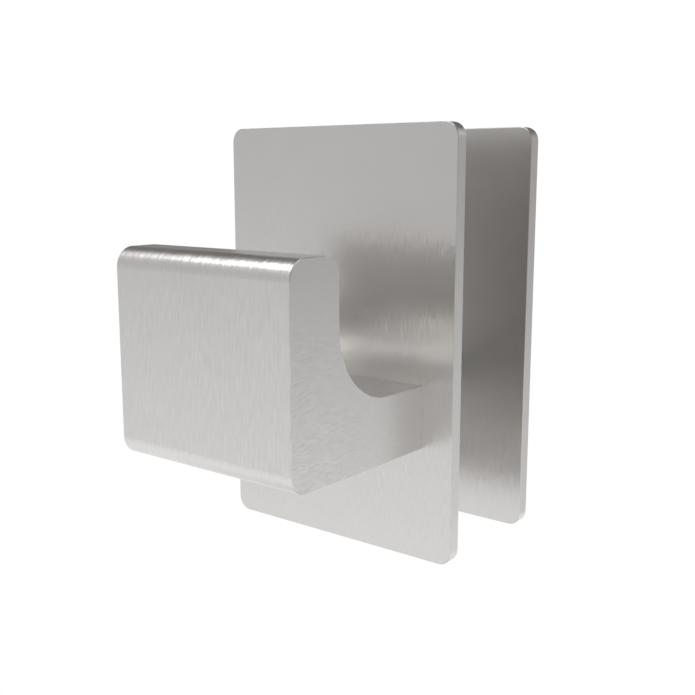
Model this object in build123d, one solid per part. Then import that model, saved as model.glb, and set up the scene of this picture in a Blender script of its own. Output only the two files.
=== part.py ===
from build123d import *
import os
from math import radians, tan

# Robe hook that clamps through a panel. All sizes are in millimetres.
# The origin is the centre of the front plate's rear face, where the panel's front face lies.
# +Y runs into the panel, +Z is up, and the hook stands out towards -Y.

# Panel that the two plates clamp
panel_thickness = 27.0

# Plates, one on each face of the panel
plate_width = 60.0
plate_height = 90.0
plate_thickness = 3.0
plate_corner_radius = 3.0

# J-shaped hook, centred on the plates
hook_width = 45.0
hook_height = 42.0
hook_reach = 40.5
upright_thickness = 13.5
arm_thickness = 13.5
hook_corner_radius = 4.0
slot_foot_radius = 15.0

# Sharp edges are only just broken
edge_break = 0.15

# Countersunk machine screw, from the back plate into the arm, its thread drawn plain
screw_diameter = 4.0
screw_head_diameter = 8.0
screw_head_rim = 0.3
screw_head_recess = 0.1
screw_tip_chamfer = 0.5
socket_across_flats = 2.5
socket_depth = 1.4
thread_engagement = 12.1
thread_clearance = 0.05
thread_runout = 3.0
screw_hole_clearance = 0.25
countersink_clearance = 0.05
drill_point_angle = 118.0

# Sleeve that lines the panel's hole and holds the plates apart, seated in a recess in each
sleeve_wall = 1.5
sleeve_bore_clearance = 0.5
sleeve_seat_depth = 0.4
sleeve_seat_clearance = 0.05
sleeve_end_chamfer = 0.2

# Dowel pins that keep the hook from turning on its plate
pin_diameter = 3.0
pin_length = 8.0
pin_spacing = 26.0
pin_recess = 0.2
pin_end_gap = 0.3
pin_clearance = 0.02
pin_end_chamfer = 0.3

# Largest share of a wall that a rounding may take
rounding_share = 0.45

# Planes that the pieces meet on, as places along Y
front_plate_front = -plate_thickness
front_plate_rear = 0.0
back_plate_front = panel_thickness
back_plate_rear = panel_thickness + plate_thickness
hook_front = front_plate_front - hook_reach
sleeve_front = front_plate_rear - sleeve_seat_depth
sleeve_rear = back_plate_front + sleeve_seat_depth

# Heights of the hook and of the axis that its fasteners share
hook_top = hook_height / 2
hook_bottom = -hook_height / 2
arm_top = hook_bottom + arm_thickness
fastener_height = hook_bottom + arm_thickness / 2

# Radii that the sleeve and what it meets share
sleeve_bore_radius = screw_diameter / 2 + sleeve_bore_clearance
sleeve_radius = sleeve_bore_radius + sleeve_wall
sleeve_seat_radius = sleeve_radius + sleeve_seat_clearance


def cylinder_along_y(x, z, y_low, y_high, radius):
    """Cylinder on an axis parallel to Y, from y_low to y_high."""
    foot = Plane(origin=(x, y_low, z), z_dir=(0, 1, 0))
    return extrude(foot * Circle(radius), amount=y_high - y_low)


def turned_about_screw_axis(points):
    """Solid turned about the screw's axis from (radius, y) points, the first and last on the axis."""
    half_section = Plane(origin=(0, 0, fastener_height), x_dir=(1, 0, 0), z_dir=(0, 0, 1))
    section = half_section * make_face(Polyline(*points, close=True))
    return revolve(section, axis=Axis((0, 0, fastener_height), (0, 1, 0)))


def plate_blank(rear):
    """Rectangular plate with rounded corners, its rear face at rear, its rims only just broken."""
    corner = min(plate_corner_radius, rounding_share * min(plate_width, plate_height))
    outline = RectangleRounded(plate_width, plate_height, corner)
    blank = extrude(Plane.XZ.offset(-rear) * outline, amount=plate_thickness)
    rims = blank.faces().sort_by(Axis.Y)[0].edges() + blank.faces().sort_by(Axis.Y)[-1].edges()
    return chamfer(rims, length=edge_break)


def pin_places():
    """Both dowel pins' places along X."""
    return (-pin_spacing / 2, pin_spacing / 2)


def make_hook():
    """J-shaped block with a deep slot that the robe's loop drops into."""
    slot_depth = hook_reach - upright_thickness
    slot_height = hook_height - arm_thickness
    foot = min(slot_foot_radius, 2 * rounding_share * min(slot_depth, slot_height))
    corner = min(hook_corner_radius, rounding_share * min(upright_thickness, arm_thickness))
    arm_root_top = (front_plate_front, arm_top)
    arm_root_bottom = (front_plate_front, hook_bottom)
    outline = FilletPolyline(
        arm_root_top,
        (hook_front + upright_thickness, arm_top),
        (hook_front + upright_thickness, hook_top),
        (hook_front, hook_top),
        (hook_front, hook_bottom),
        arm_root_bottom,
        radius=[foot, corner, corner, corner],
    )
    profile = make_face(outline + Line(arm_root_bottom, arm_root_top))
    block = extrude(Plane.YZ * profile, amount=hook_width / 2, both=True)

    # The two flanks' edges are broken, but the arm's root meets the plate square
    flanks = block.faces().sort_by(Axis.X)[0].edges() + block.faces().sort_by(Axis.X)[-1].edges()
    block = chamfer([edge for edge in flanks if not lies_on_plate(edge)], length=edge_break)

    block -= tapped_hole()
    for x in pin_places():
        block -= pin_hole_in_arm(x)
    return block


def lies_on_plate(edge):
    """True for an edge that lies wholly on the front plate's front face."""
    box = edge.bounding_box()
    return box.min.Y > front_plate_front - edge_break


def tapped_hole():
    """Blind hole for the screw, with the cone that the drill leaves at its end."""
    radius = screw_diameter / 2 + thread_clearance
    bottom = front_plate_front - thread_engagement - thread_runout
    cone = radius / tan(radians(drill_point_angle / 2))
    return turned_about_screw_axis(
        [
            (0, front_plate_front),
            (radius, front_plate_front),
            (radius, bottom),
            (0, bottom - cone),
        ]
    )


def pin_hole_in_arm(x):
    """Blind hole in the arm's root for one dowel pin."""
    bottom = -pin_recess - pin_length - pin_end_gap
    radius = pin_diameter / 2 + pin_clearance
    return cylinder_along_y(x, fastener_height, bottom, front_plate_front, radius)


def make_front_plate():
    """Plate in front of the panel, with the sleeve's seat and holes for the screw and the dowel pins."""
    plate = plate_blank(front_plate_rear)
    plate -= cylinder_along_y(0, fastener_height, sleeve_front, front_plate_rear, sleeve_seat_radius)
    hole = screw_diameter / 2 + screw_hole_clearance
    plate -= cylinder_along_y(0, fastener_height, front_plate_front, front_plate_rear, hole)
    for x in pin_places():
        radius = pin_diameter / 2 + pin_clearance
        plate -= cylinder_along_y(x, fastener_height, front_plate_front, front_plate_rear, radius)
    return plate


def make_back_plate():
    """Plate behind the panel, with the sleeve's seat, countersunk so that the screw's head lies flush."""
    plate = plate_blank(back_plate_rear)
    plate -= cylinder_along_y(0, fastener_height, back_plate_front, sleeve_rear, sleeve_seat_radius)
    hole = screw_diameter / 2 + screw_hole_clearance
    rim = screw_head_diameter / 2 + countersink_clearance
    seat = back_plate_rear - screw_head_recess - screw_head_rim - countersink_clearance
    countersink = turned_about_screw_axis(
        [
            (0, back_plate_rear),
            (rim, back_plate_rear),
            (rim, seat),
            (hole, seat - (rim - hole)),
            (hole, back_plate_front),
            (0, back_plate_front),
        ]
    )
    return plate - countersink


def make_clamp_screw():
    """Machine screw with a 90 degree countersunk head and a hex socket."""
    shank = screw_diameter / 2
    head = screw_head_diameter / 2
    head_top = back_plate_rear - screw_head_recess
    cone_start = head_top - screw_head_rim
    tip = front_plate_front - thread_engagement
    screw = turned_about_screw_axis(
        [
            (0, head_top),
            (head, head_top),
            (head, cone_start),
            (shank, cone_start - (head - shank)),
            (shank, tip + screw_tip_chamfer),
            (shank - screw_tip_chamfer, tip),
            (0, tip),
        ]
    )
    mouth = Plane(origin=(0, head_top, fastener_height), z_dir=(0, -1, 0))
    hexagon = RegularPolygon(socket_across_flats / 2, 6, major_radius=False)
    return screw - extrude(mouth * hexagon, amount=socket_depth)


def make_spacer_sleeve():
    """Sleeve round the screw, from one plate's seat to the other's."""
    outer = cylinder_along_y(0, fastener_height, sleeve_front, sleeve_rear, sleeve_radius)
    outer = chamfer(outer.edges().filter_by(GeomType.CIRCLE), length=sleeve_end_chamfer)
    return outer - cylinder_along_y(0, fastener_height, sleeve_front, sleeve_rear, sleeve_bore_radius)


def make_dowel_pins():
    """Both dowel pins, half in the arm and half in the front plate."""
    pins = []
    for x in pin_places():
        pin = cylinder_along_y(x, fastener_height, -pin_recess - pin_length, -pin_recess, pin_diameter / 2)
        pins.append(chamfer(pin.edges().filter_by(GeomType.CIRCLE), length=pin_end_chamfer))
    return Compound(children=pins)


nodes = {
    "hook": make_hook(),
    "front_plate": make_front_plate(),
    "back_plate": make_back_plate(),
    "clamp_screw": make_clamp_screw(),
    "spacer_sleeve": make_spacer_sleeve(),
    "dowel_pins": make_dowel_pins(),
}

os.makedirs("parts", exist_ok=True)
for name, shape in nodes.items():
    export_step(shape, f"parts/{name}.step")
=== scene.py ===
import math

import bpy
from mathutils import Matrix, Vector

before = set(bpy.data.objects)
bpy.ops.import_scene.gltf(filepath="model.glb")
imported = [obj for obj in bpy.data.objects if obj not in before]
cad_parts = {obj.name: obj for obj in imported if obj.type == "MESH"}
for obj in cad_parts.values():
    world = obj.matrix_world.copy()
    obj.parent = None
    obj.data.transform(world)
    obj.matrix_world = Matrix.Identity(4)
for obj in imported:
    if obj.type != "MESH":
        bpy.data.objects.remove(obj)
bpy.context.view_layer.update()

# Looks, studio and camera for the robe hook, in metres and degrees. All its pieces come from
# the frame, whose origin is the centre of the front plate's rear face. +Y runs into the panel,
# +Z is up, and the hook stands out towards -Y.

# Camera, where the photograph was taken from, its lens and sensor in millimetres
CAMERA_PLACE = (0.128959, -0.164057, 0.035011)
CAMERA_HEADING = 37.991
CAMERA_TILT = 10.212
CAMERA_LENS = 49.95
CAMERA_SENSOR = 36.0
CAMERA_NEAREST = 0.01

# White floor, well below the hook. Under the hook it is lit only by the studio, so it keeps
# the shadow, and between the two distances of FLOOR_FADE it turns into plain white.
FLOOR_HEIGHT = -0.25
FLOOR_RADIUS = 0.96
FLOOR_FADE = (0.08, 0.28)
FLOOR_COLOUR = (0.88, 0.88, 0.88)

# Round grey wall of the studio, which reaches up to this elevation and is open above
WALL_RADIUS = 0.55
WALL_TOP = 60.0

# Corners of the circles that stand for round outlines
RING_CORNERS = 128

# How bright the wall is seen to be at each elevation, with 1 as white: first all round, then
# where it is darkest, behind the hook on the left, in a warmer grey. The wall turns from one
# into the other between two cosines of the angle away from the darkest heading.
WALL_LEVELS = (
    (-25, 0.94), (-16, 0.86), (-8, 0.78), (0, 0.65), (8, 0.61),
    (24, 0.56), (34, 0.58), (46, 0.75), (60, 0.80),
)
DARK_LEVELS = (
    (-25, 0.35), (-16, 0.30), (-8, 0.35), (0, 0.40), (8, 0.31),
    (18, 0.18), (36, 0.12), (48, 0.11), (60, 0.30),
)
DARK_HEADING = 147.0
DARK_EDGE = (0.45, 0.70)
DARK_TINT = (1.05, 1.0, 0.97)

# Part of its brightness that the wall loses on the right, little below the horizon and more
# above it. The loss sets in between two cosines of the angle away from this heading.
RIGHT_HEADING = 290.0
RIGHT_EDGE = (-0.5, 0.6)
RIGHT_ELEVATIONS = (-20.0, 2.0)
RIGHT_LOSSES = (0.15, 0.36)

# Softboxes: heading from the front round by the left, elevation, distance, width, height, and
# how bright the box is seen to be, with 1 as white
SOFTBOXES = {
    "overhead": (0, 82, 0.9, 0.60, 0.60, 1.45),
    "left": (36, 52, 0.5, 0.41, 0.16, 2.85),
    "right": (245, 30, 0.5, 0.50, 0.30, 1.0),
    "front": (15, 35, 0.5, 0.22, 0.14, 1.6),
    "low": (325, -14, 0.5, 0.30, 0.14, 0.14),
}

# Middle of a noise, and the range that most of its values lie in
NOISE_MIDDLE = 0.5
NOISE_RANGE = (0.3, 0.7)

# Steel. Its gloss and brightness are a little uneven, a share of that from the strokes and the
# rest in broad patches.
STEEL_COLOUR = (0.7165, 0.70, 0.685)
STEEL_ROUGHNESS = (0.28, 0.30)
STEEL_SHADES = (0.985, 1.015)
PATCH_SCALE = 120.0
STROKE_SHARE = 0.4

# Strokes of the brushing up the hook's front, up the plates and along the sides: how wide and
# long they are, how deep at two heights, how far and how often they waver, and how much detail
# their noises have
HOOK_GRAIN = {
    "width": 0.00045, "length": 0.0036, "heights": (-0.02, 0.02), "depths": (1.35, 0.75),
}
PLATE_GRAIN = {
    "width": 0.00024, "length": 0.0024, "heights": (0.02, 0.045), "depths": (1.0, 0.3),
}
SIDE_GRAIN = {
    "width": 0.0003, "length": 0.0018, "heights": (-0.02, 0.02), "depths": (1.4, 0.2),
}
GRAIN_WAVER = 0.0005
SIDE_GRAIN_WAVER = 0.0007
WAVER_SCALE = 260.0
GRAIN_DETAIL = 1.0

# The strokes along the sides lose depth between these two places on the way to the back
SIDE_PLACES = (-0.032, -0.02)
SIDE_SHARES = (1.0, 0.45)

# Clusters of strokes, several strokes wide, and how deep the strokes are in and between them
CLUSTER_SCALE = 0.15
CLUSTER_RANGE = (0.35, 0.65)
CLUSTER_DEPTHS = (0.7, 1.3)

# Strokes on the roundings: their share of the usual width, how much deeper they get the more
# the face is turned, and how much brighter and darker than the rest they are
ROUNDING_WIDTH = 0.5
ROUNDING_DEPTH = 1.0
ROUNDING_STREAKS = 0.08

# A face is one of the sides if its normal points further than this to the left or right, and
# a rounding if its normal's parts along Y and Z have a product above this
SIDE_NORMAL = 0.75
ROUNDING_BEND = 0.05

# How far the strokes tip each piece's surface
HOOK_TILT = 0.18
FRONT_PLATE_TILT = 0.165
BACK_PLATE_TILT = 0.07
PIN_TILT = 0.13
SCREW_TILT = 0.12

# What makes each piece's pattern its own
HOOK_SEED = 3.0
FRONT_PLATE_SEED = 11.0
BACK_PLATE_SEED = 23.0
PIN_SEED = 37.0
SCREW_SEED = 5.0

# Painted shade: part of its brightness that the steel's colour loses on the broken edge of the
# plates' upper right corners, painted darker so that the edge doesn't flash white under the
# overhead light.
# Broken edges slant by 45 degrees, and the ranges are how far the corner's normals point to the
# right and up.
CORNER_PAINTED_SHADE = 0.55
CORNER_RIGHT = (0.0, 0.3)
CORNER_UP = (0.1, 0.4)
SLANT = math.sqrt(0.5)
SLANT_MARGIN = 0.1

# Height of the screw's axis, and the width of the rings that turning has left round it
SCREW_HEIGHT = -0.01425
SCREW_RING_WIDTH = 0.0001

# Matt nylon, its patches of uneven gloss, and its fine moulded texture
NYLON_COLOUR = (0.32, 0.32, 0.32)
NYLON_ROUGHNESS = (0.44, 0.56)
NYLON_PATCH_SCALE = 400.0
NYLON_TEXTURE_SCALE = 6000.0
NYLON_BUMP_STRENGTH = 0.15
NYLON_BUMP_HEIGHT = 0.00005


def make_camera():
    """Camera at the photograph's place, upright, without shift or depth of field."""
    camera = bpy.data.objects.new("camera", bpy.data.cameras.new("camera"))
    camera.location = CAMERA_PLACE
    camera.rotation_euler = (math.radians(90 - CAMERA_TILT), 0, math.radians(CAMERA_HEADING))
    camera.data.sensor_width = CAMERA_SENSOR
    camera.data.lens = CAMERA_LENS
    camera.data.clip_start = CAMERA_NEAREST
    bpy.context.scene.collection.objects.link(camera)
    bpy.context.scene.camera = camera


def direction(heading, elevation):
    """Unit vector towards a heading, counted from the front round by the left, and an elevation."""
    heading, elevation = math.radians(heading), math.radians(elevation)
    flat = math.cos(elevation)
    return Vector((-math.sin(heading) * flat, -math.cos(heading) * flat, math.sin(elevation)))


class Nodes:
    """Short names for building a node tree."""

    def __init__(self, tree):
        self.tree = tree

    def add(self, kind, values=None, **settings):
        """Adds a node, sets it, and gives each named or numbered input a value or a link."""
        node = self.tree.nodes.new(kind)
        for key, value in settings.items():
            setattr(node, key, value)
        for key, value in (values or {}).items():
            if isinstance(value, bpy.types.NodeSocket):
                self.tree.links.new(value, node.inputs[key])
            else:
                node.inputs[key].default_value = value
        return node

    def place(self):
        """Place on the piece, in metres."""
        return self.add("ShaderNodeTexCoord").outputs["Object"]

    def normal(self):
        """Direction that the surface faces."""
        return self.add("ShaderNodeNewGeometry").outputs["Normal"]

    def math(self, operation, *values, clamp=False):
        settings = {"operation": operation, "use_clamp": clamp}
        return self.add("ShaderNodeMath", dict(enumerate(values)), **settings).outputs[0]

    def vector_math(self, operation, *values):
        node = self.add("ShaderNodeVectorMath", dict(enumerate(values)), operation=operation)
        return node.outputs["Value" if operation in ("DOT_PRODUCT", "LENGTH") else "Vector"]

    def scaled(self, vector, scale):
        values = {0: vector, "Scale": scale}
        return self.add("ShaderNodeVectorMath", values, operation="SCALE").outputs[0]

    def shifted(self, vector, shift):
        return self.vector_math("ADD", vector, (shift, shift, shift))

    def ranged(self, value, low, high, to_low=0.0, to_high=1.0, kind="SMOOTHSTEP"):
        """Turns one range of values into another."""
        values = {0: value, 1: low, 2: high, 3: to_low, 4: to_high}
        return self.add("ShaderNodeMapRange", values, interpolation_type=kind).outputs[0]

    def noise(self, vector, scale, detail=2.0):
        """Noise node, with a value and a colour."""
        values = {"Vector": vector, "Scale": scale, "Detail": detail}
        return self.add("ShaderNodeTexNoise", values)

    def split(self, vector):
        node = self.add("ShaderNodeSeparateXYZ", {0: vector})
        return node.outputs[0], node.outputs[1], node.outputs[2]

    def joined(self, x, y, z):
        return self.add("ShaderNodeCombineXYZ", {0: x, 1: y, 2: z}).outputs[0]

    def mixed(self, share, a, b, kind="FLOAT"):
        """Mix of a and b with this share of b."""
        first = {"FLOAT": 2, "VECTOR": 4, "RGBA": 6}[kind]
        node = self.add("ShaderNodeMix", {0: share, first: a, first + 1: b}, data_type=kind)
        return next(out for out in node.outputs if out.enabled)


def new_material(name):
    """Empty material and its tree's short names."""
    material = bpy.data.materials.new(name)
    material.use_nodes = True
    material.node_tree.nodes.clear()
    return material, Nodes(material.node_tree)


def finish_material(nodes, shader):
    """Makes a shader the material's surface."""
    nodes.add("ShaderNodeOutputMaterial", {"Surface": shader})


def face_kinds(nodes):
    """Whether a face is a side, whether it is a rounding, and how far a rounding is turned."""
    x, y, z = nodes.split(nodes.normal())
    side = nodes.math("GREATER_THAN", nodes.math("ABSOLUTE", x), SIDE_NORMAL)
    bend = nodes.math("ABSOLUTE", nodes.math("MULTIPLY", y, z))
    return side, nodes.math("GREATER_THAN", bend, ROUNDING_BEND), bend


def grain_place(nodes, place, side, rounding, seed, width, length):
    """Coordinates counted in strokes, which run up the front and on over the roundings, and
    along the depth on the two sides."""
    drift = nodes.noise(nodes.shifted(place, seed), WAVER_SCALE, GRAIN_DETAIL).outputs["Fac"]
    drift = nodes.math("SUBTRACT", drift, NOISE_MIDDLE)
    x, y, z = nodes.split(place)
    front = nodes.joined(
        nodes.math(
            "DIVIDE",
            nodes.math("MULTIPLY_ADD", drift, GRAIN_WAVER, x),
            nodes.mixed(rounding, width, width * ROUNDING_WIDTH),
        ),
        nodes.math("DIVIDE", y, length),
        nodes.math("DIVIDE", z, length),
    )
    flank = nodes.joined(
        nodes.math(
            "DIVIDE",
            nodes.math("MULTIPLY_ADD", drift, SIDE_GRAIN_WAVER, z),
            SIDE_GRAIN["width"],
        ),
        nodes.math("DIVIDE", y, SIDE_GRAIN["length"]),
        nodes.math("DIVIDE", x, SIDE_GRAIN["length"]),
    )
    return nodes.shifted(nodes.mixed(side, front, flank, "VECTOR"), seed)


def grain_depth(nodes, place, grain, side, bend, heights, depths):
    """How deep the strokes are: on the front by height and deeper on the roundings, and on the
    sides deepest low down in front."""
    _, y, z = nodes.split(place)
    clusters = nodes.noise(grain, CLUSTER_SCALE, GRAIN_DETAIL).outputs["Fac"]
    front_depth = nodes.math(
        "MULTIPLY",
        nodes.ranged(z, *heights, *depths, "LINEAR"),
        nodes.math("MULTIPLY_ADD", bend, ROUNDING_DEPTH, 1.0),
    )
    side_depth = nodes.math(
        "MULTIPLY",
        nodes.ranged(z, *SIDE_GRAIN["heights"], *SIDE_GRAIN["depths"], "LINEAR"),
        nodes.ranged(y, *SIDE_PLACES, *SIDE_SHARES, "LINEAR"),
    )
    return nodes.math(
        "MULTIPLY",
        nodes.ranged(clusters, *CLUSTER_RANGE, *CLUSTER_DEPTHS, "LINEAR"),
        nodes.mixed(side, front_depth, side_depth),
    )


def painted_corner_shade(nodes, loss):
    """Brightness of the steel's colour, with painted shade on broken edges that face up and to the
    right, where the overhead light would flash.
    """
    x, y, z = nodes.split(nodes.normal())
    slanted = nodes.math("COMPARE", nodes.math("ABSOLUTE", y), SLANT, SLANT_MARGIN)
    corner = nodes.math(
        "MULTIPLY", nodes.ranged(x, *CORNER_RIGHT), nodes.ranged(z, *CORNER_UP)
    )
    painted_darkening = nodes.math("MULTIPLY", nodes.math("MULTIPLY", slanted, corner), loss)
    return nodes.math("SUBTRACT", 1.0, painted_darkening)


def steel_shader(nodes, place, grain, tilt, streaks, painted_edge_shade):
    """Metal whose grain tips its surface, and changes its gloss and its brightness, a little."""
    strokes = nodes.noise(grain, 1.0, GRAIN_DETAIL).outputs
    lean = nodes.scaled(nodes.shifted(strokes["Color"], -NOISE_MIDDLE), tilt)
    leaning = nodes.vector_math("NORMALIZE", nodes.vector_math("ADD", nodes.normal(), lean))
    patches = nodes.noise(place, PATCH_SCALE).outputs["Fac"]
    uneven = nodes.mixed(STROKE_SHARE, patches, strokes["Fac"])
    gloss = nodes.ranged(uneven, *NOISE_RANGE, *STEEL_ROUGHNESS, "LINEAR")
    shade = nodes.ranged(uneven, *NOISE_RANGE, *STEEL_SHADES, "LINEAR")
    streak = nodes.ranged(strokes["Fac"], *NOISE_RANGE, -1.0, 1.0, "LINEAR")
    # The colour takes the painted shade of the plates' upper right broken edges here
    shade = nodes.math("MULTIPLY", nodes.math("MULTIPLY_ADD", streak, streaks, shade), painted_edge_shade)
    values = {
        "Base Color": nodes.scaled(STEEL_COLOUR, shade),
        "Metallic": 1.0,
        "Roughness": gloss,
        "Normal": leaning,
    }
    return nodes.add("ShaderNodeBsdfPrincipled", values).outputs[0]


def make_brushed(name, seed, tilt, strokes, corner_shade_paint=0.0):
    """Brushed stainless steel, with painted shade on the plates' upper right broken edges where a
    share of it is given.
    """
    material, nodes = new_material(name)
    place = nodes.place()
    side, rounding, bend = face_kinds(nodes)
    grain = grain_place(nodes, place, side, rounding, seed, strokes["width"], strokes["length"])
    depth = grain_depth(nodes, place, grain, side, bend, strokes["heights"], strokes["depths"])
    lean = nodes.math("MULTIPLY", depth, tilt)
    streaks = nodes.math("MULTIPLY", rounding, ROUNDING_STREAKS)
    # Painted shade on the upper right broken edges, darker colour where the overhead light would
    # glint
    painted_edge_shade = painted_corner_shade(nodes, corner_shade_paint)
    finish_material(nodes, steel_shader(nodes, place, grain, lean, streaks, painted_edge_shade))
    return material


def make_turned(name, seed, tilt):
    """Steel turned about the screw's axis, with fine rings."""
    material, nodes = new_material(name)
    place = nodes.place()
    x, y, z = nodes.split(nodes.vector_math("SUBTRACT", place, (0, 0, SCREW_HEIGHT)))
    radius = nodes.vector_math("LENGTH", nodes.joined(x, 0, z))
    grain = nodes.joined(
        nodes.math("DIVIDE", radius, SCREW_RING_WIDTH),
        nodes.math("DIVIDE", y, SCREW_RING_WIDTH),
        seed,
    )
    finish_material(nodes, steel_shader(nodes, place, grain, tilt, 0.0, 1.0))
    return material


def make_nylon(name):
    """Matt grey nylon with a fine moulded texture."""
    material, nodes = new_material(name)
    place = nodes.place()
    bump = {
        "Height": nodes.noise(place, NYLON_TEXTURE_SCALE).outputs["Fac"],
        "Strength": NYLON_BUMP_STRENGTH,
        "Distance": NYLON_BUMP_HEIGHT,
    }
    patches = nodes.noise(place, NYLON_PATCH_SCALE).outputs["Fac"]
    values = {
        "Base Color": (*NYLON_COLOUR, 1),
        "Roughness": nodes.ranged(patches, *NOISE_RANGE, *NYLON_ROUGHNESS),
        "Normal": nodes.add("ShaderNodeBump", bump).outputs[0],
    }
    finish_material(nodes, nodes.add("ShaderNodeBsdfPrincipled", values).outputs[0])
    return material


def dress(node, material):
    """Gives a CAD node a material in each of its slots."""
    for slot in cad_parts[node].material_slots:
        slot.material = material


def stage_object(name, vertices, faces, material):
    """Part of the studio."""
    mesh = bpy.data.meshes.new(name)
    mesh.from_pydata(vertices, [], faces)
    mesh.materials.append(material)
    thing = bpy.data.objects.new(name, mesh)
    bpy.context.scene.collection.objects.link(thing)
    return thing


def ring(radius, height):
    """Corners of a level circle."""
    turns = (math.tau * i / RING_CORNERS for i in range(RING_CORNERS))
    return [(radius * math.cos(turn), radius * math.sin(turn), height) for turn in turns]


def make_floor():
    """White floor that keeps the hook's shadow below it."""
    material, nodes = new_material("floor")
    x, y, _ = nodes.split(nodes.place())
    away = nodes.vector_math("LENGTH", nodes.joined(x, y, 0))
    rays = nodes.add("ShaderNodeLightPath").outputs
    seen = nodes.math("ADD", rays["Is Camera Ray"], rays["Is Glossy Ray"])
    seen = nodes.math("ADD", seen, rays["Is Transmission Ray"], clamp=True)
    share = nodes.math("MULTIPLY", seen, nodes.ranged(away, *FLOOR_FADE))
    lit = nodes.add("ShaderNodeBsdfDiffuse", {"Color": (*FLOOR_COLOUR, 1)}).outputs[0]
    white = {"Color": (1, 1, 1, 1), "Strength": 1.0}
    plain = nodes.add("ShaderNodeEmission", white).outputs[0]
    shader = nodes.add("ShaderNodeMixShader", {0: share, 1: lit, 2: plain}).outputs[0]
    finish_material(nodes, shader)
    corners = ring(FLOOR_RADIUS, FLOOR_HEIGHT)
    stage_object("floor", corners, [list(range(RING_CORNERS))], material)


def level_ramp(nodes, elevation, levels, tint=(1.0, 1.0, 1.0)):
    """Brightness by elevation, in a tint."""
    low, high = levels[0][0], levels[-1][0]
    share = nodes.ranged(elevation, low, high, kind="LINEAR")
    ramp = nodes.add("ShaderNodeValToRGB", {0: share})
    stops = ramp.color_ramp.elements

    # Missing stops are added anywhere, as all are placed afterwards
    while len(stops) < len(levels):
        stops.new(0.5)
    for stop, (angle, level) in zip(stops, levels):
        stop.position = (angle - low) / (high - low)
        stop.color = (*(level * part for part in tint), 1)
    return ramp.outputs[0]


def make_wall():
    """Round wall that the steel reflects, not seen by the camera."""
    material, nodes = new_material("wall")
    x, y, z = nodes.split(nodes.place())
    rise = nodes.math("DIVIDE", z, WALL_RADIUS)
    elevation = nodes.math("DEGREES", nodes.math("ARCTANGENT", rise))
    flat = nodes.scaled(nodes.joined(x, y, 0), 1 / WALL_RADIUS)
    behind = nodes.vector_math("DOT_PRODUCT", flat, tuple(direction(DARK_HEADING, 0)))
    right = nodes.vector_math("DOT_PRODUCT", flat, tuple(direction(RIGHT_HEADING, 0)))
    level = nodes.mixed(
        nodes.ranged(behind, *DARK_EDGE),
        level_ramp(nodes, elevation, WALL_LEVELS),
        level_ramp(nodes, elevation, DARK_LEVELS, DARK_TINT),
        "RGBA",
    )
    loss = nodes.math(
        "MULTIPLY",
        nodes.ranged(elevation, *RIGHT_ELEVATIONS, *RIGHT_LOSSES),
        nodes.ranged(right, *RIGHT_EDGE),
    )
    light = {"Color": level, "Strength": nodes.math("SUBTRACT", 1.0, loss)}
    finish_material(nodes, nodes.add("ShaderNodeEmission", light).outputs[0])
    top = WALL_RADIUS * math.tan(math.radians(WALL_TOP))
    corners = ring(WALL_RADIUS, FLOOR_HEIGHT) + ring(WALL_RADIUS, top)
    faces = []
    for i in range(RING_CORNERS):
        j = (i + 1) % RING_CORNERS
        faces.append((i, j, RING_CORNERS + j, RING_CORNERS + i))
    wall = stage_object("wall", corners, faces, material)
    wall.visible_camera = False


def make_softboxes():
    """Rectangular lights that face the hook."""
    for name, (heading, elevation, distance, width, height, level) in SOFTBOXES.items():
        light = bpy.data.lights.new(name, "AREA")
        light.shape = "RECTANGLE"
        light.size = width
        light.size_y = height
        light.energy = level * math.pi * width * height
        lamp = bpy.data.objects.new(name, light)
        towards = direction(heading, elevation)
        lamp.location = towards * distance
        lamp.rotation_euler = towards.to_track_quat("Z", "Y").to_euler()
        lamp.visible_camera = False
        bpy.context.scene.collection.objects.link(lamp)


def make_world():
    """Plain white world."""
    world = bpy.data.worlds.new("studio")
    bpy.context.scene.world = world
    world.use_nodes = True
    world.node_tree.nodes["Background"].inputs["Color"].default_value = (1, 1, 1, 1)


make_camera()
make_world()
make_floor()
make_wall()
make_softboxes()

dress("hook", make_brushed("hook_steel", HOOK_SEED, HOOK_TILT, HOOK_GRAIN))
# The plates get painted shade on their upper right broken edges
dress("front_plate", make_brushed(
    "front_plate_steel", FRONT_PLATE_SEED, FRONT_PLATE_TILT, PLATE_GRAIN, CORNER_PAINTED_SHADE
))
dress("back_plate", make_brushed(
    "back_plate_steel", BACK_PLATE_SEED, BACK_PLATE_TILT, PLATE_GRAIN, CORNER_PAINTED_SHADE
))
dress("clamp_screw", make_turned("screw_steel", SCREW_SEED, SCREW_TILT))
dress("dowel_pins", make_brushed("pin_steel", PIN_SEED, PIN_TILT, HOOK_GRAIN))
dress("spacer_sleeve", make_nylon("nylon"))

bpy.context.scene.view_settings.view_transform = "Standard"
